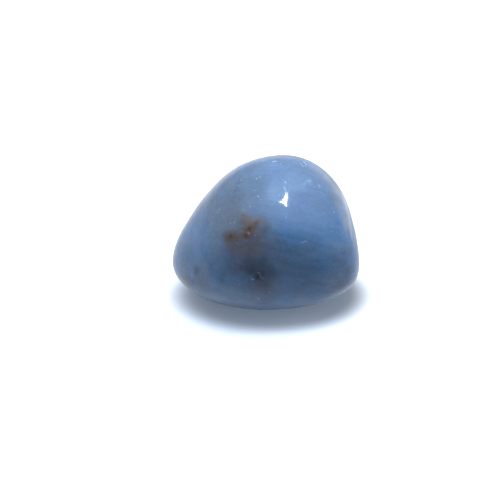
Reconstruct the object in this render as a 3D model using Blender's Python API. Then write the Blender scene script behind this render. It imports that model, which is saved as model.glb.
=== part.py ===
"""Blue anhydrite: one tumbled and polished pebble, solid, resting on its flattest side.

The form is a rounded ellipsoid worn down by soft flats, as a tumbling barrel leaves it. Metres, +Z up. The origin is
the bottom centre of the stone's box, on the surface that it rests on; -Y is its front and +X its right.
"""

from math import cos, pi, radians, sin, tan

import bmesh
import bpy
from mathutils import Vector, noise

MM = 0.001

# Half lengths of the pebble before its flats were worn, along X, Y and Z
PEBBLE = Vector((17.2, 14.7, 16.4)) * MM

# Each worn flat: its bearing round the stone (0 faces the front, 90 the right) and its rise above the horizon, in
# degrees, and how far it lies from the pebble's middle
FLATS = {
    "rest": (0, -90, 9.2 * MM),
    "front": (8, 4, 12.6 * MM),
    "front_top": (20, 50, 14.6 * MM),
    "front_under": (0, -50, 10.4 * MM),
    "front_left_under": (319, -50, 12.3 * MM),
    "front_right_under": (44, -50, 12.0 * MM),
    "right": (96, 8, 13.85 * MM),
    "right_top": (120, 38, 16.4 * MM),
    "left_front": (300, 30, 13.6 * MM),
    "left": (249, 29, 13.6 * MM),
    "left_under": (285, -37, 17.3 * MM),
    "left_top": (212, 52, 14.9 * MM),
    "back": (176, 22, 12.7 * MM),
    "back_left": (222, -4, 14.9 * MM),
    "back_right": (140, -8, 14.8 * MM),
    "back_under": (185, -45, 12.4 * MM),
}
# How crisply the flats meet: 2 would give an ellipsoid, and a large number a cut gem
CRISPNESS = 9.0

# The last of the wear takes the underside down to a true plane, this much above the lowest rounded point
REST_WEAR = 0.15 * MM

# Slow swells of the polished surface: their height either way, and how many cross the stone
SWELL_HEIGHT = 0.12 * MM
SWELLS_ACROSS = 2.2
SWELL_SEED = Vector((3.1, 7.4, 1.9))

# Faces along each edge of the cube that is rounded into the stone
GRID = 24

STONE_COLOUR = (0.135, 0.245, 0.42, 1.0)
STONE_ROUGHNESS = 0.16
STONE_IOR = 1.58


def clear_scene():
    """Removes whatever the file opened with."""
    for old in list(bpy.data.objects):
        bpy.data.objects.remove(old)


def outward(bearing, rise):
    """The unit vector at a bearing and a rise in degrees."""
    turn, lift = radians(bearing), radians(rise)
    return Vector((sin(turn) * cos(lift), -cos(turn) * cos(lift), sin(lift)))


def reach(direction, flats):
    """Distance from the pebble's middle to its surface: a smooth minimum over the ellipsoid and every flat."""
    share = Vector(direction[i] / PEBBLE[i] for i in range(3)).length
    total = share**CRISPNESS
    for normal, distance in flats:
        facing = max(direction.dot(normal), 0.0)
        total += (facing / distance) ** CRISPNESS
    swell = noise.noise(direction * SWELLS_ACROSS + SWELL_SEED)
    return total ** (-1 / CRISPNESS) + SWELL_HEIGHT * swell


def grid_directions(shape):
    """Turns the points of a gridded cube of half size 1 into unit vectors, evenly spread over the sphere."""
    for vertex in shape.verts:
        spread = Vector(tan(axis * pi / 4) for axis in vertex.co)
        vertex.co = spread.normalized()


def stone_mesh():
    """The worn pebble as one closed mesh, with its origin at the bottom centre of its box."""
    shape = bmesh.new()
    bmesh.ops.create_cube(shape, size=2.0)
    bmesh.ops.subdivide_edges(
        shape, edges=shape.edges, cuts=GRID - 1, use_grid_fill=True
    )
    grid_directions(shape)

    flats = [(outward(bearing, rise), distance) for bearing, rise, distance in FLATS.values()]
    for vertex in shape.verts:
        vertex.co *= reach(vertex.co, flats)

    # The underside is one plane where it rests
    rest_height = min(vertex.co.z for vertex in shape.verts) + REST_WEAR
    for vertex in shape.verts:
        vertex.co.z = max(vertex.co.z, rest_height)

    across = [vertex.co.x for vertex in shape.verts]
    deep = [vertex.co.y for vertex in shape.verts]
    middle = Vector(((min(across) + max(across)) / 2, (min(deep) + max(deep)) / 2, rest_height))
    bmesh.ops.translate(shape, verts=shape.verts, vec=-middle)

    bmesh.ops.recalc_face_normals(shape, faces=shape.faces)
    mesh = bpy.data.meshes.new("stone")
    shape.to_mesh(mesh)
    shape.free()
    mesh.shade_smooth()
    return mesh


def anhydrite():
    """Polished blue anhydrite, one even colour."""
    material = bpy.data.materials.new("blue_anhydrite")
    material.use_nodes = True
    surface = material.node_tree.nodes["Principled BSDF"]
    surface.inputs["Base Color"].default_value = STONE_COLOUR
    surface.inputs["Roughness"].default_value = STONE_ROUGHNESS
    surface.inputs["Metallic"].default_value = 0.0
    surface.inputs["IOR"].default_value = STONE_IOR
    return material


def main():
    clear_scene()
    stone = bpy.data.objects.new("stone", stone_mesh())
    stone.data.materials.append(anhydrite())
    bpy.context.scene.collection.objects.link(stone)


main()
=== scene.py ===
"""Blue anhydrite: a tumbled and polished pebble on a plain white floor, from the photograph's angle.

The stone is remade here from the same worn flats as the CAD solid, fine enough for its pits and ripples, and
stands for that solid. Its markings are nodes placed round points of its surface. Metres, +Z up; -Y is the
front.
"""

from math import cos, pi, radians, sin

import bmesh
import bpy
import numpy as np
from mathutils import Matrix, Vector, noise
from mathutils.bvhtree import BVHTree
from mathutils.interpolate import poly_3d_calc


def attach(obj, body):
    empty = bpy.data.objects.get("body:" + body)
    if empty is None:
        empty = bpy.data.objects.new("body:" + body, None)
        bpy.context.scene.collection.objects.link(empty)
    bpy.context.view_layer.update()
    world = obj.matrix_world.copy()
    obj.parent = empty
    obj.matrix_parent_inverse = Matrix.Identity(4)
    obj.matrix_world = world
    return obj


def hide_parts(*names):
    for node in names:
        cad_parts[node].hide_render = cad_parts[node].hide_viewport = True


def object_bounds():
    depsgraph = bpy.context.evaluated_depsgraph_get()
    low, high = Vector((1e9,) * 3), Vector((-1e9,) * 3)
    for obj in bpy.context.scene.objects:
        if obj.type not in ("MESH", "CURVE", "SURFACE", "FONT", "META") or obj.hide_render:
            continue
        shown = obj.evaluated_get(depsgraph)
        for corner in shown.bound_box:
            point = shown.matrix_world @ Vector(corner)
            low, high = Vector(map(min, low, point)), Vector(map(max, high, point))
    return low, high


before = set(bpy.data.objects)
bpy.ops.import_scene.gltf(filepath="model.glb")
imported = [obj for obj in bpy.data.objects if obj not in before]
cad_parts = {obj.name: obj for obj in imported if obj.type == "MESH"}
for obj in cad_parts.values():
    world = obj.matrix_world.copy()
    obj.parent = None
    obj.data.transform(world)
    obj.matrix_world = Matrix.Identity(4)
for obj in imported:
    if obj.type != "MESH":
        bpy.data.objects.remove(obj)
CAD_LOW, CAD_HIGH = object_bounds()

MM = 0.001

# The worn form, as in the CAD source: half lengths of the unworn pebble, then each flat's bearing round the
# stone (0 faces the front, 90 the right), its rise above the horizon in degrees and its distance from the
# middle
PEBBLE = np.array((17.2, 14.7, 16.4)) * MM
FLATS = {
    "rest": (0, -90, 9.2 * MM),
    "front": (8, 4, 12.6 * MM),
    "front_top": (20, 50, 14.6 * MM),
    "front_under": (0, -50, 10.4 * MM),
    "front_left_under": (319, -50, 12.3 * MM),
    "front_right_under": (44, -50, 12.0 * MM),
    "right": (96, 8, 13.85 * MM),
    "right_top": (120, 38, 16.4 * MM),
    "left_front": (300, 30, 13.6 * MM),
    "left": (249, 29, 13.6 * MM),
    "left_under": (285, -37, 17.3 * MM),
    "left_top": (212, 52, 14.9 * MM),
    "back": (176, 22, 12.7 * MM),
    "back_left": (222, -4, 14.9 * MM),
    "back_right": (140, -8, 14.8 * MM),
    "back_under": (185, -45, 12.4 * MM),
}
# How crisply the flats meet, and how far above its lowest point the form is cut off to rest on a true flat
CRISPNESS = 9.0
REST_WEAR = 0.15 * MM
# Slow swells of the surface: their height, how closely they follow each other and their place in the noise
SWELL_HEIGHT = 0.12 * MM
SWELLS_ACROSS = 2.2
SWELL_SEED = Vector((3.1, 7.4, 1.9))

# Faces along each edge of the cube that is rounded into the stone
GRID = 126

# The photograph's frame and the camera's place, worked out from the stone's outline in it
FRAME_PIXELS = 500
CAMERA_RISE = 33
CAMERA_DISTANCE = 220 * MM
CAMERA_TARGET = Vector((-2.45, -0.3, 8.6)) * MM
FRAME_WIDTH = 80 * MM
SENSOR_MM = 36
CLIP_NEAR = CAMERA_DISTANCE / 100
CLIP_FAR = CAMERA_DISTANCE * 100

PIXEL = FRAME_WIDTH / FRAME_PIXELS


def outward(bearing, rise):
    """The unit vector at a bearing and a rise in degrees."""
    turn, lift = radians(bearing), radians(rise)
    return Vector((sin(turn) * cos(lift), -cos(turn) * cos(lift), sin(lift)))


# The stone's form


def read_points(mesh):
    """The mesh's points as rows of an array."""
    flat = np.empty(len(mesh.vertices) * 3, np.float32)
    mesh.vertices.foreach_get("co", flat)
    return flat.reshape(-1, 3).astype(float)


def write_points(mesh, points):
    """Puts rows of an array back as the mesh's points."""
    mesh.vertices.foreach_set("co", points.astype(np.float32).ravel())
    mesh.update()


def grid_sphere():
    """A cube of square faces, rounded into a unit sphere with its points evenly spread."""
    shape = bmesh.new()
    bmesh.ops.create_cube(shape, size=2.0)
    bmesh.ops.subdivide_edges(shape, edges=shape.edges, cuts=GRID - 1, use_grid_fill=True)
    mesh = bpy.data.meshes.new("polished_stone")
    shape.to_mesh(mesh)
    shape.free()
    points = np.tan(read_points(mesh) * pi / 4)
    write_points(mesh, points / np.linalg.norm(points, axis=1)[:, None])
    return mesh


def noise_at(points, seed):
    """Smooth noise, about -1 to 1, at each row of points."""
    return np.array([noise.noise(Vector(point) + seed) for point in points])


def reach(directions):
    """Distance from the pebble's middle to its surface along each direction."""
    total = np.linalg.norm(directions / PEBBLE, axis=1) ** CRISPNESS
    for bearing, rise, distance in FLATS.values():
        facing = np.clip(directions @ np.array(outward(bearing, rise)), 0, None)
        total += (facing / distance) ** CRISPNESS
    return total ** (-1 / CRISPNESS) + SWELL_HEIGHT * noise_at(directions * SWELLS_ACROSS, SWELL_SEED)


# Two flanks that stand a hair prouder here than in the CAD solid: bearing and rise of the middle, reach in
# degrees and height
PROUD_FLANKS = [(260, 18, 26, 0.15 * MM), (78, 8, 18, 0.13 * MM)]


def proud(directions):
    """How far the flanks stand out along each direction."""
    height = np.zeros(len(directions))
    for bearing, rise, limit, most in PROUD_FLANKS:
        facing = directions @ np.array(outward(bearing, rise))
        share = np.clip((facing - cos(radians(limit))) / (1 - cos(radians(limit))), 0, 1)
        height += most * share**2 * (3 - 2 * share)
    return height


def fit_to_cad(points):
    """Eases the stone into the CAD solid's box, which its coarser faces leave a hair smaller."""
    low, high = points.min(axis=0), points.max(axis=0)
    cad_low, cad_high = np.array(CAD_LOW), np.array(CAD_HIGH)
    return cad_low + (points - low) * (cad_high - cad_low) / (high - low)


# The slight ripple that polishing leaves, as height and the length of one ripple
RIPPLES = [(0.020 * MM, 4.2 * MM), (0.0025 * MM, 1.6 * MM)]
RIPPLE_SEED = Vector((11.3, 2.2, 5.9))


def rippled(points, directions):
    """Presses the ripples into the surface; they only ever go inwards."""
    depth = np.zeros(len(points))
    for height, length in RIPPLES:
        depth += height * (1 - noise_at(points / length, RIPPLE_SEED)) / 2
    return points - directions * depth[:, None]


def stone_mesh():
    """The polished stone, still without its pits."""
    mesh = grid_sphere()
    directions = read_points(mesh)
    points = directions * (reach(directions) + proud(directions))[:, None]
    points = rippled(points, directions)
    rest_height = points[:, 2].min() + REST_WEAR
    points[:, 2] = np.maximum(points[:, 2], rest_height)
    write_points(mesh, fit_to_cad(points))
    mesh.shade_smooth()
    return mesh


# The camera, and places on the stone


def camera_axes():
    """Unit vectors from the target to the camera, to the frame's right and up it."""
    back = outward(0, CAMERA_RISE)
    right = Vector((1, 0, 0))
    return back, right, back.cross(right)


def add_camera():
    """A camera at the photograph's place, with the photograph's frame."""
    data = bpy.data.cameras.new("camera")
    data.sensor_width = SENSOR_MM
    data.lens = SENSOR_MM * CAMERA_DISTANCE / FRAME_WIDTH
    data.clip_start = CLIP_NEAR
    data.clip_end = CLIP_FAR
    camera = bpy.data.objects.new("camera", data)
    back, _, _ = camera_axes()
    camera.location = CAMERA_TARGET + back * CAMERA_DISTANCE
    camera.rotation_mode = "QUATERNION"
    camera.rotation_quaternion = (-back).to_track_quat("-Z", "Y")
    bpy.context.scene.collection.objects.link(camera)
    bpy.context.scene.camera = camera


# The stone's middle, and a distance from it that is well outside the stone
STONE_MIDDLE = Vector((0, 0, 12)) * MM
OUTSIDE = 60 * MM


class Sight:
    """Finds places on the stone, by a pixel of the photograph or by a bearing and rise from its middle."""

    def __init__(self, mesh):
        self.points = [vertex.co.copy() for vertex in mesh.vertices]
        self.normals = [vertex.normal.copy() for vertex in mesh.vertices]
        self.faces = [list(face.vertices) for face in mesh.polygons]
        self.tree = BVHTree.FromPolygons(self.points, self.faces)
        self.back, self.right, self.up = camera_axes()
        self.eye = CAMERA_TARGET + self.back * CAMERA_DISTANCE

    def seen(self, pixel):
        """The place that shows at a pixel of the photograph, or the nearest one to a pixel past the rim."""
        across = (pixel[0] - FRAME_PIXELS / 2) * PIXEL
        above = (FRAME_PIXELS / 2 - pixel[1]) * PIXEL
        aim = CAMERA_TARGET + self.right * across + self.up * above
        hit = self.tree.ray_cast(self.eye, aim - self.eye)[0]
        return hit or self.tree.find_nearest(aim)[0]

    def around(self, bearing, rise):
        """The place at a bearing and rise from the stone's middle."""
        ray = outward(bearing, rise)
        return self.tree.ray_cast(STONE_MIDDLE + ray * OUTSIDE, -ray)[0]

    def normal(self, place):
        """The smooth normal at a place, from the corners of its face."""
        corners = self.faces[self.tree.find_nearest(place)[2]]
        shares = poly_3d_calc([self.points[corner] for corner in corners], place)
        parts = (self.normals[corner] * share for corner, share in zip(corners, shares))
        return sum(parts, Vector()).normalized()

    def mirrored(self, place):
        """The way that the camera's ray goes on from a place on the polished stone."""
        ray = (place - self.eye).normalized()
        return ray.reflect(self.normal(place))


# Pits worn into the stone

# On the front, each as the pixel at its middle, its radius in pixels and its depth
FRONT_PITS = [
    ((253.0, 278.3), 2.6, 0.13 * MM),
    ((259.2, 273.4), 1.6, 0.07 * MM),
    ((260.2, 276.8), 1.5, 0.07 * MM),
    ((263.0, 278.6), 1.3, 0.05 * MM),
    ((303.6, 164.3), 2.8, 0.14 * MM),
    ((191.7, 274.6), 1.8, 0.06 * MM),
    ((248.6, 233.0), 1.6, 0.04 * MM),
]
# On the back and the sides, each as its bearing and rise, its radius and its depth
BACK_PITS = [
    (176, 34, 0.55 * MM, 0.14 * MM),
    (168, 30, 0.35 * MM, 0.08 * MM),
    (214, 12, 0.45 * MM, 0.10 * MM),
    (141, 8, 0.50 * MM, 0.12 * MM),
    (237, 38, 0.40 * MM, 0.09 * MM),
    (103, 26, 0.40 * MM, 0.08 * MM),
    (190, -8, 0.60 * MM, 0.12 * MM),
    (262, 4, 0.35 * MM, 0.08 * MM),
    (152, 58, 0.35 * MM, 0.07 * MM),
]


def pit_places(sight):
    """Every pit's middle, radius and depth."""
    pits = [(sight.seen(pixel), radius * PIXEL, depth) for pixel, radius, depth in FRONT_PITS]
    pits += [(sight.around(bearing, rise), radius, depth) for bearing, rise, radius, depth in BACK_PITS]
    return pits


def carve_pits(mesh, sight):
    """Presses each pit's bowl inwards."""
    points = read_points(mesh)
    for middle, radius, depth in pit_places(sight):
        away = np.linalg.norm(points - np.array(middle), axis=1) / radius
        bowl = np.clip(1 - away**2, 0, 1) ** 1.5
        points -= np.array(sight.normal(middle)) * (depth * bowl)[:, None]
    write_points(mesh, points)


# Nodes


class Wiring:
    """Short calls for adding and joining a material's nodes.

    A mix node has a pair of inputs and a result for each kind of value: inputs 2 and 3 with output 0 are
    numbers, and inputs 6 and 7 with output 2 are colours.
    """

    def __init__(self, tree):
        self.tree = tree
        tree.nodes.clear()

    def add(self, kind, **settings):
        node = self.tree.nodes.new(kind)
        for name, value in settings.items():
            setattr(node, name, value)
        return node

    def put(self, socket, value):
        """Links a socket to another, or gives it a value."""
        if isinstance(value, bpy.types.NodeSocket):
            self.tree.links.new(value, socket)
        else:
            socket.default_value = value

    def math(self, operation, first, second=0.0):
        node = self.add("ShaderNodeMath", operation=operation)
        self.put(node.inputs[0], first)
        self.put(node.inputs[1], second)
        return node.outputs[0]

    def vector(self, operation, first, second=(0, 0, 0)):
        node = self.add("ShaderNodeVectorMath", operation=operation)
        self.put(node.inputs[0], first)
        self.put(node.inputs[1], second)
        return node.outputs["Value" if operation in ("DISTANCE", "LENGTH", "DOT_PRODUCT") else "Vector"]

    def scaled(self, vector, factor):
        node = self.add("ShaderNodeVectorMath", operation="SCALE")
        self.put(node.inputs[0], vector)
        self.put(node.inputs["Scale"], factor)
        return node.outputs["Vector"]

    def noise(self, where, size, detail=3.0, roughness=0.5, distortion=0.0):
        """Noise with features of a size in millimetres, where the position is in millimetres too."""
        node = self.add("ShaderNodeTexNoise")
        self.put(node.inputs["Vector"], where)
        self.put(node.inputs["Scale"], 1 / size)
        self.put(node.inputs["Detail"], detail)
        self.put(node.inputs["Roughness"], roughness)
        self.put(node.inputs["Distortion"], distortion)
        return node

    def drifted(self, where, size, span):
        """A position moved about by noise of a size, by up to about half of span, both in millimetres."""
        drift = self.noise(where, size, detail=4.0, roughness=0.6).outputs["Color"]
        drift = self.vector("SUBTRACT", drift, (0.5, 0.5, 0.5))
        return self.vector("ADD", where, self.scaled(drift, span))

    def ramp(self, value, low, high, out_low=0.0, out_high=1.0):
        """Eases a value from one range to another and holds it there."""
        node = self.add("ShaderNodeMapRange", interpolation_type="SMOOTHSTEP")
        for socket, number in zip(node.inputs, (value, low, high, out_low, out_high)):
            self.put(socket, number)
        return node.outputs["Result"]

    def axes(self, vector):
        """A vector's parts, by the names X, Y and Z."""
        node = self.add("ShaderNodeSeparateXYZ")
        self.put(node.inputs[0], vector)
        return node.outputs

    def disc(self, direction, bearing, rise, full, edge):
        """A soft disc in the sky: 1 within full degrees of its middle, and 0 beyond edge degrees."""
        facing = self.vector("DOT_PRODUCT", direction, outward(bearing, rise))
        return self.ramp(facing, cos(radians(edge)), cos(radians(full)))

    def blend(self, share, first, second):
        """A number that goes from first to second."""
        node = self.add("ShaderNodeMix", data_type="FLOAT")
        self.put(node.inputs["Factor"], share)
        self.put(node.inputs[2], first)
        self.put(node.inputs[3], second)
        return node.outputs[0]

    def mix(self, share, first, second):
        """A colour that goes from first to second."""
        node = self.add("ShaderNodeMix", data_type="RGBA")
        self.put(node.inputs["Factor"], share)
        self.put(node.inputs[6], first)
        self.put(node.inputs[7], second)
        return node.outputs[2]

    def surface(self, shader, output="ShaderNodeOutputMaterial"):
        """Makes a shader the result of the whole tree."""
        self.put(self.add(output).inputs["Surface"], shader)


def new_material(name):
    """A material and the wiring of its nodes, still empty."""
    material = bpy.data.materials.new(name)
    material.use_nodes = True
    return material, Wiring(material.node_tree)


# The stone's own colours; some also paint light below: glints, a glow round the bright mark, reflections
# along the rims and a pale foot
DEEP_BLUE = (0.045, 0.145, 0.330, 1.0)
MID_BLUE = (0.078, 0.196, 0.420, 1.0)
PALE_BLUE = (0.090, 0.220, 0.475, 1.0)
VIVID_BLUE = (0.080, 0.215, 0.485, 1.0)
# Azure, also used for a painted glow round the bright mark
AZURE = (0.155, 0.315, 0.600, 1.0)
# Lilac, also used for a painted reflection along the rims
LILAC = (0.172, 0.245, 0.365, 1.0)
TEAL = (0.064, 0.170, 0.332, 1.0)
DULL_BLUE = (0.084, 0.168, 0.325, 1.0)
SLATE = (0.100, 0.152, 0.262, 1.0)
# Grey for the painted reflection along the rims
GREY = (0.080, 0.130, 0.215, 1.0)
# Milky, also used for the painted pale foot
MILKY = (0.160, 0.280, 0.480, 1.0)
INK = (0.058, 0.084, 0.138, 1.0)
PLUM = (0.122, 0.130, 0.172, 1.0)
UMBER = (0.160, 0.150, 0.165, 1.0)
RUST = (0.108, 0.080, 0.080, 1.0)
RUST_CORE = (0.080, 0.055, 0.050, 1.0)
NIGHT = (0.010, 0.070, 0.170, 1.0)
# Darker colour in and round the pits
PIT_DARK = (0.028, 0.032, 0.048, 1.0)
# Pale crystal, also used for painted glints
CRYSTAL_AND_GLINT = (0.42, 0.60, 0.88, 1.0)
# Beige specks in the stain, painted as glints
BEIGE_GLINT = (0.50, 0.40, 0.36, 1.0)

# How far each spot's fade goes, in its radii
SPOT_SPREAD = 2.0

# Each marking of the front as round spots that run together: the pixel at the middle, the radius in pixels
# and the strength
VIVID_CLOUD = [
    ((300, 212), 18, 0.85),
    ((322, 226), 14, 0.8),
    ((284, 220), 11, 0.7),
    ((330, 244), 10, 0.5),
    ((204, 236), 11, 0.5),
    ((276, 170), 9, 0.4),
]
# Azure clouds; round the bright mark they are a painted glow of its light
AZURE_CLOUD_AND_PAINTED_GLOW = [
    ((274, 195), 10, 0.8),
    ((288, 185), 10, 0.6),
    ((286, 209), 5, 0.35),
    ((303, 185), 7, 0.4),
    ((326, 254), 8, 0.3),
]
DEEP_CLOUD = [
    ((187, 258), 11, 0.85),
    ((200, 266), 8, 0.7),
]
LILAC_CLOUD = [
    ((233, 212), 14, 0.95),
    ((238, 220), 8, 0.7),
    ((221, 226), 12, 0.7),
    ((235, 226), 8, 0.8),
    ((219, 242), 11, 0.5),
    ((234, 194), 12, 0.5),
    ((218, 200), 11, 0.3),
    ((216, 256), 9, 0.25),
    ((262, 236), 7, 0.35),
    ((272, 230), 6, 0.25),
    ((213, 213), 9, 0.6),
    ((212, 222), 7, 0.4),
]
TEAL_STRIPE = [
    ((257, 182), 9, 0.9),
    ((250, 170), 9, 0.7),
    ((248, 194), 8, 0.5),
    ((260, 196), 6, 0.4),
    ((262, 168), 7, 0.5),
]
DULL_CLOUD = [
    ((302, 262), 15, 0.85),
    ((290, 275), 13, 0.85),
    ((312, 280), 13, 0.8),
    ((330, 280), 10, 0.7),
    ((288, 255), 9, 0.6),
    ((302, 290), 12, 0.7),
    ((208, 276), 7, 0.5),
    ((250, 163), 6, 0.7),
    ((276, 156), 6, 0.6),
    ((264, 160), 7, 0.4),
    ((286, 160), 8, 0.4),
    ((310, 170), 9, 0.6),
    ((323, 183), 7, 0.7),
    ((334, 199), 7, 0.6),
    ((334, 254), 8, 0.5),
]
SLATE_CLOUD = [
    ((270, 255), 13, 0.75),
    ((276, 244), 7, 0.3),
    ((233, 256), 11, 0.7),
    ((237, 268), 10, 0.75),
    ((220, 258), 9, 0.3),
    ((205, 271), 11, 0.4),
    ((219, 272), 9, 0.35),
    ((270, 284), 11, 0.85),
    ((282, 266), 8, 0.5),
    ((262, 294), 11, 0.85),
    ((246, 284), 9, 0.7),
    ((264, 230), 5, 0.5),
    ((254, 303), 8, 0.3),
    ((263, 221), 5, 0.45),
    ((338, 262), 8, 0.45),
]
# Greyer colour all along the outline: a painted reflection of the room at the rims
PAINTED_RIM_REFLECTION = [
    ((224, 184), 6, 0.7),
    ((213, 197), 6, 0.7),
    ((203, 207), 6, 0.6),
    ((236, 173), 5, 0.5),
    ((264, 158), 6, 0.6),
    ((299, 158), 6, 0.6),
    ((322, 174), 6, 0.6),
    ((333, 186), 6, 0.8),
    ((341, 200), 6, 0.8),
    ((347, 216), 6, 0.7),
    ((350, 232), 5, 0.6),
    ((350, 252), 6, 0.6),
    ((348, 270), 8, 0.8),
    ((343, 284), 8, 0.8),
    ((332, 293), 7, 0.6),
    ((187, 280), 8, 0.7),
    ((202, 285), 8, 0.7),
    ((200, 298), 8, 0.8),
    ((190, 290), 6, 0.7),
    ((203, 304), 6, 0.6),
    ((216, 306), 5, 0.4),
    ((276, 306), 6, 0.4),
    ((276, 159), 7, 0.5),
    ((296, 159), 6, 0.4),
    ((347, 223), 6, 0.4),
    ((336, 196), 6, 0.4),
]
# Milky clouds; along the foot they are a pale band painted as light thrown up by the floor
MILKY_CLOUD_AND_PAINTED_FOOT_LIGHT = [
    ((218, 297), 10, 0.9),
    ((232, 294), 10, 0.8),
    ((219, 282), 10, 0.4),
    ((232, 281), 7, 0.3),
    ((247, 301), 8, 0.5),
    ((302, 300), 9, 0.4),
    ((218, 268), 7, 0.15),
    ((204, 237), 8, 0.25),
    ((212, 232), 7, 0.2),
    ((314, 246), 8, 0.15),
]
# A lilac haze, mostly along the outline as a painted reflection at the rims
LILAC_HAZE_AND_RIM_REFLECTION = [
    ((329, 177), 5, 0.3),
    ((336, 189), 5, 0.4),
    ((337, 207), 6, 0.3),
    ((346, 224), 6, 0.4),
    ((238, 180), 8, 0.5),
    ((230, 188), 7, 0.5),
    ((222, 204), 6, 0.35),
    ((239, 196), 7, 0.3),
    ((205, 240), 9, 0.3),
    ((214, 248), 8, 0.25),
    ((186, 242), 6, 0.3),
    ((184, 267), 6, 0.4),
    ((273, 240), 5, 0.3),
    ((308, 244), 10, 0.1),
    ((340, 252), 9, 0.25),
    ((338, 268), 9, 0.25),
    ((334, 284), 8, 0.25),
]
INK_CLOUD = [
    ((262, 268), 8, 0.8),
    ((250, 269), 8, 0.85),
    ((261, 280), 8, 0.85),
    ((272, 274), 6, 0.5),
    ((239, 266), 5, 0.35),
    ((264, 288), 6, 0.5),
    ((207, 269), 7, 0.12),
    ((190, 284), 6, 0.35),
    ((226, 277), 7, 0.2),
    ((266, 224), 4, 0.25),
    ((203, 294), 6, 0.25),
    ((268, 305), 6, 0.2),
]
PLUM_HAZE = [
    ((245, 246), 10, 0.9),
    ((233, 246), 8, 0.8),
    ((257, 244), 8, 0.7),
    ((250, 256), 8, 0.5),
    ((259, 229), 5, 0.6),
    ((227, 236), 6, 0.6),
    ((244, 226), 7, 0.5),
    ((261, 237), 5, 0.4),
    ((227, 178), 5, 0.3),
    ((218, 196), 5, 0.3),
    ((256, 167), 5, 0.25),
    ((337, 190), 5, 0.2),
    ((339, 208), 5, 0.15),
    ((347, 222), 5, 0.2),
]
UMBER_STAIN = [
    ((244, 219), 3.8, 0.8),
    ((249, 221), 4.2, 0.85),
    ((254, 223), 3.4, 0.8),
    ((251, 227), 4.8, 0.9),
    ((247, 232), 4.6, 0.85),
    ((242, 236), 4.4, 0.8),
    ((236, 237), 4.4, 0.8),
    ((230, 236), 5.0, 0.85),
    ((229, 241), 4.0, 0.6),
]
RUST_STAIN = [
    ((257.5, 222.5), 2.6, 0.7),
    ((254.5, 225), 3.0, 0.7),
    ((250.5, 229), 3.6, 0.85),
    ((247.5, 234), 3.4, 0.65),
    ((231, 236.8), 4.2, 0.7),
    ((225, 236), 2.6, 0.4),
    ((239, 237), 3.0, 0.35),
    ((252, 235.5), 2.6, 0.45),
]
RUST_CORES = [
    ((249.5, 229), 1.8, 0.7),
    ((256.5, 222.5), 1.6, 0.5),
    ((231, 236.8), 2.0, 0.6),
    ((246.5, 235.5), 1.7, 0.5),
    ((242.5, 215.3), 0.8, 0.7),
    ((222.8, 235.5), 0.8, 0.5),
]
NIGHT_SPOTS = [
    ((196, 271), 4.5, 0.85),
    ((193, 282), 3.6, 0.55),
]
# Darker colour in and round the pits
PIT_DARK_SPOTS = [
    ((257.5, 277), 3.0, 0.75),
    ((251.5, 271.5), 3.2, 0.4),
    ((262, 273.5), 3.0, 0.3),
    ((253, 278.3), 1.1, 0.4),
    ((303.6, 164.3), 1.0, 0.4),
]
# Pale veils and flecks; by the bright mark's tip they are a painted glow of its light
PALE_VEILS_AND_PAINTED_GLOW = [
    ((308.6, 181.8), 2.6, 0.7),
    ((284.6, 188.6), 1.7, 0.6),
    ((282.6, 195.0), 2.6, 0.3),
    ((303, 184.5), 2.0, 0.5),
    ((319, 185.7), 1.6, 0.4),
]

# Tiny pale crystals and painted glints, as pixel, radius in pixels and strength
CRYSTAL_SPECKS_AND_GLINTS = [
    ((256.5, 178.6), 0.55, 0.90),
    ((260, 177.3), 0.42, 0.63),
    ((241, 180.3), 0.59, 0.63),
    ((230, 182.2), 0.51, 0.54),
    ((228.6, 185.7), 0.42, 0.45),
    ((233, 185), 0.42, 0.45),
    ((239, 185.7), 0.42, 0.45),
    ((248, 185.7), 0.42, 0.27),
    ((246.7, 188.3), 0.42, 0.27),
    ((255, 190.4), 0.42, 0.54),
    ((258.3, 196.4), 0.59, 0.81),
    ((260.7, 199.4), 0.42, 0.63),
    ((237.8, 193.3), 0.42, 0.27),
    ((250, 206.5), 0.51, 0.63),
    ((243.2, 210), 0.42, 0.45),
    ((240.7, 211), 0.42, 0.36),
    ((219.6, 209.4), 0.55, 0.81),
    ((234.4, 222.5), 0.51, 0.63),
    ((230.5, 223.3), 0.51, 0.63),
    ((242.5, 170.4), 0.51, 0.54),
    ((263.6, 160.3), 0.51, 0.54),
    ((280.6, 163.3), 0.51, 0.54),
    ((288.3, 165.3), 0.42, 0.45),
    ((285.4, 182.4), 0.70, 0.90),
    ((309.6, 180.8), 0.55, 0.55),
    ((304.4, 184.0), 0.50, 0.45),
    ((314.4, 187.2), 0.50, 0.40),
    ((319.2, 185.7), 0.55, 0.45),
    ((279.4, 195.4), 0.42, 0.45),
    ((274.4, 203.4), 0.42, 0.45),
    ((272.2, 204.4), 0.42, 0.45),
    ((286, 217.4), 0.51, 0.54),
    ((239.5, 284.5), 0.51, 0.54),
    ((258.5, 298.5), 0.59, 0.72),
    ((270.3, 292.3), 0.42, 0.36),
    ((280, 267.5), 0.42, 0.27),
    ((334, 212.1), 0.51, 0.54),
    ((323.6, 213.2), 0.42, 0.45),
    ((332.4, 231.4), 0.42, 0.45),
    ((346.6, 211.4), 0.42, 0.54),
    ((343, 232), 0.42, 0.45),
    ((191.7, 274.6), 0.77, 0.45),
]
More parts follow.
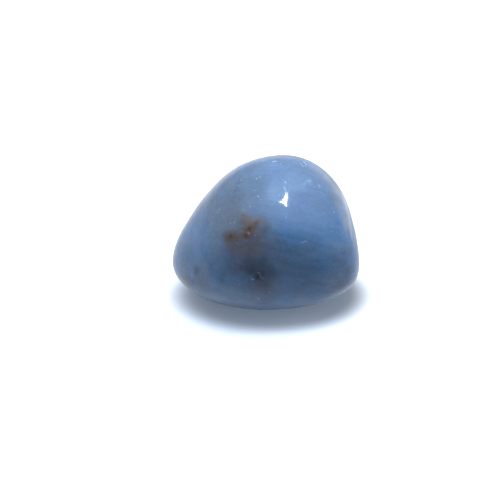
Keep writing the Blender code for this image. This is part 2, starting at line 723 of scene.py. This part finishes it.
# Painted glints on the rims of pits, dotted in the same way
PIT_RIM_GLINTS = [
    ((251.3, 277.9), 0.45, 0.36),
    ((251.6, 279.0), 0.50, 0.51),
    ((252.6, 279.7), 0.55, 0.87),
    ((253.8, 279.4), 0.50, 0.65),
    ((254.4, 278.4), 0.45, 0.51),
    ((258.6, 272.8), 0.70, 0.32),
    ((259.6, 273.8), 0.60, 0.32),
    ((259.8, 276.0), 0.50, 0.36),
    ((260.8, 277.0), 0.50, 0.51),
    ((262.6, 278.5), 0.50, 0.43),
    ((304.3, 162.5), 0.80, 0.72),
    ((302.9, 166.3), 0.70, 0.58),
    ((301.4, 164.0), 0.60, 0.58),
    ((306.0, 164.3), 0.70, 0.58),
    ((305.4, 166.0), 0.50, 0.43),
]
# Scratches and chips painted as glints, and a painted streak by the bright mark, from pixel to pixel, with
# their half width and strength
SCRATCH_GLINTS = [
    ((299.6, 243.0), (303.2, 242.2), 0.34, 0.25),
    ((303.2, 241.9), (306.2, 241.2), 0.38, 0.45),
    ((272.8, 161.8), (276.4, 161.2), 0.55, 0.60),
    ((286.0, 190.5), (284.0, 187.0), 0.70, 0.30),
    ((301.4, 185.0), (310.7, 180.2), 0.60, 0.16),
]
SCRATCH_STEPS = 7
# Beige specks in the stain, painted as glints
BEIGE_GLINTS = [
    ((248.0, 232.4), 0.9, 0.35),
    ((249.3, 233.5), 0.9, 0.4),
    ((254.7, 235.4), 0.6, 0.35),
]

# Markings of the back and sides, as bearing, rise, radius in millimetres and strength
BACK_VIVID = [
    (188, 48, 3.5, 0.7),
    (132, 14, 3.0, 0.6),
    (262, -12, 3.0, 0.5),
]
BACK_DEEP = [
    (206, -4, 3.0, 0.7),
    (190, -20, 3.0, 0.6),
    (112, 34, 2.5, 0.6),
    (92, -14, 2.5, 0.5),
]
BACK_LILAC = [
    (228, 40, 3.5, 0.8),
    (215, 26, 2.5, 0.5),
    (100, 45, 2.5, 0.4),
]
BACK_SLATE = [
    (150, 20, 2.8, 0.7),
    (160, -8, 2.8, 0.7),
    (172, 4, 2.2, 0.6),
    (250, 10, 2.5, 0.6),
    (225, -15, 2.6, 0.6),
]
BACK_MILKY = [
    (200, 30, 2.6, 0.7),
    (182, 22, 2.0, 0.5),
    (120, -5, 2.4, 0.5),
]
BACK_PLUM = [
    (160, 8, 1.6, 0.7),
    (166, 1, 1.4, 0.6),
    (237, -8, 1.3, 0.6),
]
BACK_INK = [
    (168, -4, 1.3, 0.6),
    (234, -15, 1.1, 0.5),
]
BACK_UMBER = [
    (158, 12, 0.6, 0.8),
    (163, 8, 0.5, 0.8),
    (154, 16, 0.4, 0.7),
    (236, -6, 0.5, 0.7),
]
BACK_RUST = [
    (158, 12, 0.4, 0.8),
    (163, 8, 0.3, 0.7),
    (236, -6, 0.3, 0.6),
]


def placed(sight, front, back=()):
    """Spots as their middle in millimetres, radius in millimetres and strength."""
    spots = [(sight.seen(pixel) / MM, radius * PIXEL / MM, strength) for pixel, radius, strength in front]
    for bearing, rise, radius, strength in back:
        spots.append((sight.around(bearing, rise) / MM, radius, strength))
    return spots


def spots_mask(wires, where, spots):
    """Soft round spots that run together, at a position in millimetres."""
    clear = 1.0
    for middle, radius, strength in spots:
        away = wires.vector("DISTANCE", where, middle)
        past = wires.ramp(away, SPOT_SPREAD * radius, 0.0, 1.0, 1 - strength)
        clear = wires.math("MULTIPLY", clear, past)
    return wires.math("SUBTRACT", 1.0, clear)


def scratch_glint_spots():
    """Each scratch's painted glint as a row of small spots."""
    spots = []
    for start, end, half_width, strength in SCRATCH_GLINTS:
        for step in range(SCRATCH_STEPS):
            share = step / (SCRATCH_STEPS - 1)
            pixel = tuple(a + (b - a) * share for a, b in zip(start, end))
            spots.append((pixel, half_width, strength))
    return spots


# Fine specks strewn through the stone: the size in millimetres of the cells that hold one each, and how
# strongly they show
STREWN = [(1.2, 0.40), (0.7, 0.30)]
# Share of its cell that a speck fills, and the share of cells left without
STREWN_RADIUS = 0.07
STREWN_BARE = 0.5


def strewn_mask(wires, where):
    """Where the strewn specks show, at a position in millimetres."""
    total = 0.0
    for cell, strength in STREWN:
        node = wires.add("ShaderNodeTexVoronoi")
        wires.put(node.inputs["Vector"], where)
        wires.put(node.inputs["Scale"], 1 / cell)
        chance = wires.add("ShaderNodeSeparateColor")
        wires.put(chance.inputs["Color"], node.outputs["Color"])
        dot = wires.ramp(node.outputs["Distance"], STREWN_RADIUS, 0.0, 0.0, strength)
        kept = wires.math("GREATER_THAN", chance.outputs["Red"], STREWN_BARE)
        total = wires.math("ADD", total, wires.math("MULTIPLY", dot, kept))
    return total


# The way that the stone's fibres run: a turn about Y in degrees, how much longer than wide they are, and
# their width in millimetres
FIBRE_TURN = 17
FIBRE_STRETCH = 6.0
FIBRE_WIDTH = 0.8


def fibres(wires, where):
    """Noise drawn out along the fibres."""
    turned = wires.add("ShaderNodeMapping", vector_type="TEXTURE")
    wires.put(turned.inputs["Vector"], where)
    turned.inputs["Rotation"].default_value = (0, radians(FIBRE_TURN), 0)
    turned.inputs["Scale"].default_value = (FIBRE_STRETCH, 1.0, 1.0)
    return wires.noise(turned.outputs["Vector"], FIBRE_WIDTH, detail=5.0, roughness=0.65).outputs["Fac"]


# How the clouds' and the stains' outlines wander: the size of the noise and how far it moves them, in
# millimetres
CLOUD_DRIFT = (2.6, 3.0)
STAIN_DRIFT = (0.9, 0.9)
# The ground under all markings: the size of its clouds in millimetres, and the levels of their noise
# between which dull blue turns to middle blue, and middle blue to pale
GROUND_SIZE = 7.0
DULL_TO_MID = (0.30, 0.46)
MID_TO_PALE = (0.50, 0.68)
# The grain over all of it: the mottle's size in millimetres, the fibres' share in it, the levels of noise
# that count and the colour's brightness at each end
MOTTLE_SIZE = 0.6
FIBRE_SHARE = 0.5
GRAIN_LEVELS = (0.3, 0.7)
GRAIN_BRIGHTNESS = (0.85, 1.15)


def stone_colour(wires, sight):
    """The cloudy blue with its lilac, milky and dark clouds, its stain and its specks, with painted glints,
    glow, rim reflections and a pale foot among them; and its mottle.
    """
    position = wires.scaled(wires.add("ShaderNodeTexCoord").outputs["Object"], 1 / MM)
    cloudy = wires.drifted(position, *CLOUD_DRIFT)
    ragged = wires.drifted(position, *STAIN_DRIFT)

    cloud = wires.noise(position, GROUND_SIZE, detail=3.0, roughness=0.5, distortion=0.5).outputs["Fac"]
    colour = wires.mix(wires.ramp(cloud, *DULL_TO_MID), DULL_BLUE, MID_BLUE)
    colour = wires.mix(wires.ramp(cloud, *MID_TO_PALE), colour, PALE_BLUE)

    markings = [
        (cloudy, VIVID_BLUE, VIVID_CLOUD, BACK_VIVID),
        (cloudy, AZURE, AZURE_CLOUD_AND_PAINTED_GLOW, ()),
        (cloudy, DEEP_BLUE, DEEP_CLOUD, BACK_DEEP),
        (cloudy, LILAC, LILAC_CLOUD, BACK_LILAC),
        (cloudy, TEAL, TEAL_STRIPE, ()),
        (cloudy, DULL_BLUE, DULL_CLOUD, ()),
        (cloudy, SLATE, SLATE_CLOUD, BACK_SLATE),
        (cloudy, GREY, PAINTED_RIM_REFLECTION, ()),
        (cloudy, MILKY, MILKY_CLOUD_AND_PAINTED_FOOT_LIGHT, BACK_MILKY),
        (cloudy, LILAC, LILAC_HAZE_AND_RIM_REFLECTION, ()),
        (cloudy, PLUM, PLUM_HAZE, BACK_PLUM),
        (cloudy, INK, INK_CLOUD, BACK_INK),
        (ragged, UMBER, UMBER_STAIN, BACK_UMBER),
        (ragged, RUST, RUST_STAIN, BACK_RUST),
        (ragged, RUST_CORE, RUST_CORES, ()),
        (ragged, NIGHT, NIGHT_SPOTS, ()),
        (ragged, PIT_DARK, PIT_DARK_SPOTS, ()),
        (ragged, AZURE, PALE_VEILS_AND_PAINTED_GLOW, ()),
        (position, BEIGE_GLINT, BEIGE_GLINTS, ()),
        (position, CRYSTAL_AND_GLINT, CRYSTAL_SPECKS_AND_GLINTS + PIT_RIM_GLINTS + scratch_glint_spots(), ()),
    ]
    for where, shade, front, back in markings:
        colour = wires.mix(spots_mask(wires, where, placed(sight, front, back)), colour, shade)
    colour = wires.mix(strewn_mask(wires, position), colour, CRYSTAL_AND_GLINT)

    # Fibres and a fine mottle go through all of it
    mottle = wires.noise(position, MOTTLE_SIZE, detail=5.0, roughness=0.75).outputs["Fac"]
    grain = wires.blend(FIBRE_SHARE, mottle, fibres(wires, ragged))
    return wires.scaled(colour, wires.ramp(grain, *GRAIN_LEVELS, *GRAIN_BRIGHTNESS)), mottle


# How rough the polish is, at each end of the mottle's levels
POLISH_ROUGHNESS = (0.03, 0.06)
# The faint haze over the polish is a thin rough coat and a sheen, and a little light passes under the
# surface
FINISH = {
    "IOR": 1.50,
    "Coat Weight": 0.08,
    "Coat Roughness": 0.32,
    "Sheen Weight": 0.15,
    "Sheen Roughness": 0.3,
    "Subsurface Weight": 0.25,
    "Subsurface Radius": (0.9, 1.0, 1.1),
    "Subsurface Scale": 1.0 * MM,
}


def anhydrite(sight):
    """Cloudy blue anhydrite, polished: a clear gloss with a faint haze over it."""
    material, wires = new_material("blue_anhydrite")
    colour, mottle = stone_colour(wires, sight)
    shader = wires.add("ShaderNodeBsdfPrincipled")
    wires.put(shader.inputs["Base Color"], colour)
    wires.put(shader.inputs["Roughness"], wires.ramp(mottle, *GRAIN_LEVELS, *POLISH_ROUGHNESS))
    for name, value in FINISH.items():
        shader.inputs[name].default_value = value
    wires.surface(shader.outputs["BSDF"])
    return material


# The room

FLOOR_WIDTH = 6.0
# The camera sees a white floor with a painted bluish glow of its own, which is GLOW_AFAR times as strong
# outside a soft oval at the stone's foot. The floor is painted grey in the oval as the stone's shadow, and
# darker to the right
FLOOR_WHITE = 0.90
SHADED_LEFT = 0.42
SHADED_RIGHT = 0.15
SHADE_RIGHT_FROM = 4 * MM
SHADE_RIGHT_TO = 14 * MM
FLOOR_GLOW = (0.125, 0.163, 0.218)
GLOW_AFAR = 3.0
# The oval's middle and half lengths, and how many of these its shade reaches: in full, and at its soft edge
SHADE_MIDDLE = (0.9 * MM, 0, 0)
SHADE_ACROSS = 13.4 * MM
SHADE_DEEP = 8.8 * MM
SHADE_FULL = 0.95
SHADE_EDGE = 1.42
# The stone is lit by another floor: dark towards the camera, paler beside and behind the stone, and pale at
# the foot of its front, with a faint glow all over
GLOW_UNSEEN = 0.05
BOUNCE_FRONT = 0.03
BOUNCE_LEFT = 0.68
BOUNCE_RIGHT = 0.50
BOUNCE_FOOT = 0.80
BOUNCE_FROM = -44 * MM
BOUNCE_TO = -10 * MM
LEFT_TO = -20 * MM
RIGHT_FROM = 20 * MM
FOOT_NEAR = 10 * MM
FOOT_FAR = 24 * MM
FOOT_BACK = -1 * MM
FOOT_FRONT = -9 * MM
# On it lies the window's light, in a fan that spreads away from the stone
FAN_LEVEL = 1.0
FAN_BEARING = 130
FAN_FULL = 8
FAN_EDGE = 20
FAN_NEAR = 44 * MM
FAN_FAR = 64 * MM


def bounce_level(wires, place, away):
    """How pale the floor that lights the stone is, from place to place."""
    along = wires.axes(place)
    back = wires.ramp(along["X"], LEFT_TO, RIGHT_FROM, BOUNCE_LEFT, BOUNCE_RIGHT)
    level = wires.ramp(along["Y"], BOUNCE_FROM, BOUNCE_TO, BOUNCE_FRONT, back)
    foot = wires.ramp(away, FOOT_FAR, FOOT_NEAR)
    foot = wires.math("MULTIPLY", foot, wires.ramp(along["Y"], FOOT_BACK, FOOT_FRONT))
    return wires.blend(foot, level, BOUNCE_FOOT)


def fan_level(wires, place, away):
    """How strongly the window's light glows on the floor that lights the stone."""
    fan = wires.disc(wires.vector("NORMALIZE", place), FAN_BEARING, 0, FAN_FULL, FAN_EDGE)
    return wires.math("MULTIPLY", fan, wires.ramp(away, FAN_NEAR, FAN_FAR, 0.0, FAN_LEVEL))


def shade_distance(wires, place):
    """How far a place of the floor is from the middle of the shaded oval, in the oval's own half lengths."""
    offset = wires.vector("SUBTRACT", place, SHADE_MIDDLE)
    return wires.vector("LENGTH", wires.vector("MULTIPLY", offset, (1 / SHADE_ACROSS, 1 / SHADE_DEEP, 0)))


def add_floor():
    """The floor that the camera sees and, for all other rays, the one that lights the stone."""
    bpy.ops.mesh.primitive_plane_add(size=FLOOR_WIDTH)
    floor = bpy.context.object
    floor.name = "floor"
    material, wires = new_material("white_floor")
    seen = wires.add("ShaderNodeLightPath").outputs["Is Camera Ray"]
    place = wires.add("ShaderNodeTexCoord").outputs["Object"]
    away = wires.vector("LENGTH", place)
    lit = wires.ramp(shade_distance(wires, place), SHADE_FULL, SHADE_EDGE)
    bounce = wires.add("ShaderNodeBsdfDiffuse")
    across = wires.vector("DOT_PRODUCT", place, (1, 0, 0))
    shaded = wires.ramp(across, SHADE_RIGHT_FROM, SHADE_RIGHT_TO, SHADED_LEFT, SHADED_RIGHT)
    seen_level = wires.blend(lit, shaded, FLOOR_WHITE)
    wires.put(bounce.inputs["Color"], wires.blend(seen, bounce_level(wires, place, away), seen_level))
    glow = wires.add("ShaderNodeEmission")
    seen_glow = wires.scaled(FLOOR_GLOW, wires.blend(lit, 1.0, GLOW_AFAR))
    lit_glow = wires.math("ADD", GLOW_UNSEEN, fan_level(wires, place, away))
    wires.put(glow.inputs["Color"], wires.mix(seen, lit_glow, seen_glow))
    both = wires.add("ShaderNodeAddShader")
    wires.put(both.inputs[0], bounce.outputs["BSDF"])
    wires.put(both.inputs[1], glow.outputs["Emission"])
    wires.surface(both.outputs["Shader"])
    floor.data.materials.append(material)


# The room's light by direction: walls, a soft light overhead, a bright window at the right and behind, and
# the dim side where the camera stands
WALL_LEFT = 0.22
WALL_RIGHT = 0.75
BACK_LEFT = 0.80
BACK_RIGHT = 1.3
OVERHEAD = 2.3
WINDOW = 1.9
DIM = 0.08
BACKDROP = 1.2
# Where one gives way to another, along the direction's own X or Y
LEFT_TO_RIGHT = (-0.6, 0.6)
BACK_LEFT_TO_RIGHT = (-0.6, 0.1)
SIDES_TO_BACK = (-0.1, 0.6)
# Soft discs, as bearing and rise of the middle, and how many degrees from it the light is full and gone
DIM_DISC = (-18, 5, 42, 74)
WINDOW_DISC = (128, 10, 20, 32)
OVERHEAD_DISC = (130, 84, 4, 62)


def light_room():
    """The room's light, and a plain white backdrop for the camera."""
    world = bpy.data.worlds.new("room")
    world.use_nodes = True
    bpy.context.scene.world = world
    wires = Wiring(world.node_tree)
    direction = wires.add("ShaderNodeTexCoord").outputs["Generated"]
    along = wires.axes(direction)
    sides = wires.ramp(along["X"], *LEFT_TO_RIGHT, WALL_LEFT, WALL_RIGHT)
    back = wires.ramp(along["X"], *BACK_LEFT_TO_RIGHT, BACK_LEFT, BACK_RIGHT)
    level = wires.blend(wires.ramp(along["Y"], *SIDES_TO_BACK), sides, back)
    level = wires.blend(wires.disc(direction, *DIM_DISC), level, DIM)
    level = wires.blend(wires.disc(direction, *WINDOW_DISC), level, WINDOW)
    level = wires.blend(wires.disc(direction, *OVERHEAD_DISC), level, OVERHEAD)
    seen = wires.add("ShaderNodeLightPath").outputs["Is Camera Ray"]
    background = wires.add("ShaderNodeBackground")
    background.inputs["Color"].default_value = (1.0, 1.0, 1.0, 1.0)
    wires.put(background.inputs["Strength"], wires.blend(seen, level, BACKDROP))
    wires.surface(background.outputs["Background"], "ShaderNodeOutputWorld")


# The outline of the bright mark on the upper front, in pixels; the lamp is shaped so that it mirrors there
LAMP_MARK = [
    (286.5, 190.9),
    (287.2, 194.0),
    (287.5, 197.5),
    (287.3, 200.5),
    (286.9, 203.5),
    (286.5, 207.2),
    (285.0, 205.2),
    (283.5, 203.9),
    (281.7, 202.8),
    (278.7, 201.9),
    (281.6, 200.7),
    (283.3, 199.3),
    (284.4, 197.4),
    (285.2, 195.1),
    (285.9, 193.0),
]
LAMP_DISTANCE = 250 * MM
LAMP_GLOW = 40


def add_lamp(sight):
    """A glowing outline that the polished stone mirrors to the camera as the bright mark."""
    places = [sight.seen(pixel) for pixel in LAMP_MARK]
    corners = [place + sight.mirrored(place) * LAMP_DISTANCE for place in places]
    mesh = bpy.data.meshes.new("lamp")
    mesh.from_pydata(corners, [], [list(range(len(corners)))])
    lamp = bpy.data.objects.new("lamp", mesh)
    lamp.visible_camera = False
    material, wires = new_material("lamp_glow")
    glow = wires.add("ShaderNodeEmission")
    glow.inputs["Strength"].default_value = LAMP_GLOW
    wires.surface(glow.outputs["Emission"])
    mesh.materials.append(material)
    bpy.context.scene.collection.objects.link(lamp)


def main():
    bpy.context.scene.view_settings.view_transform = "Standard"
    mesh = stone_mesh()
    sight = Sight(mesh)
    carve_pits(mesh, sight)
    mesh.materials.append(anhydrite(sight))
    stone = bpy.data.objects.new("polished_stone", mesh)
    bpy.context.scene.collection.objects.link(stone)
    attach(stone, "root")
    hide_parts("stone")
    add_camera()
    add_floor()
    light_room()
    add_lamp(sight)


main()
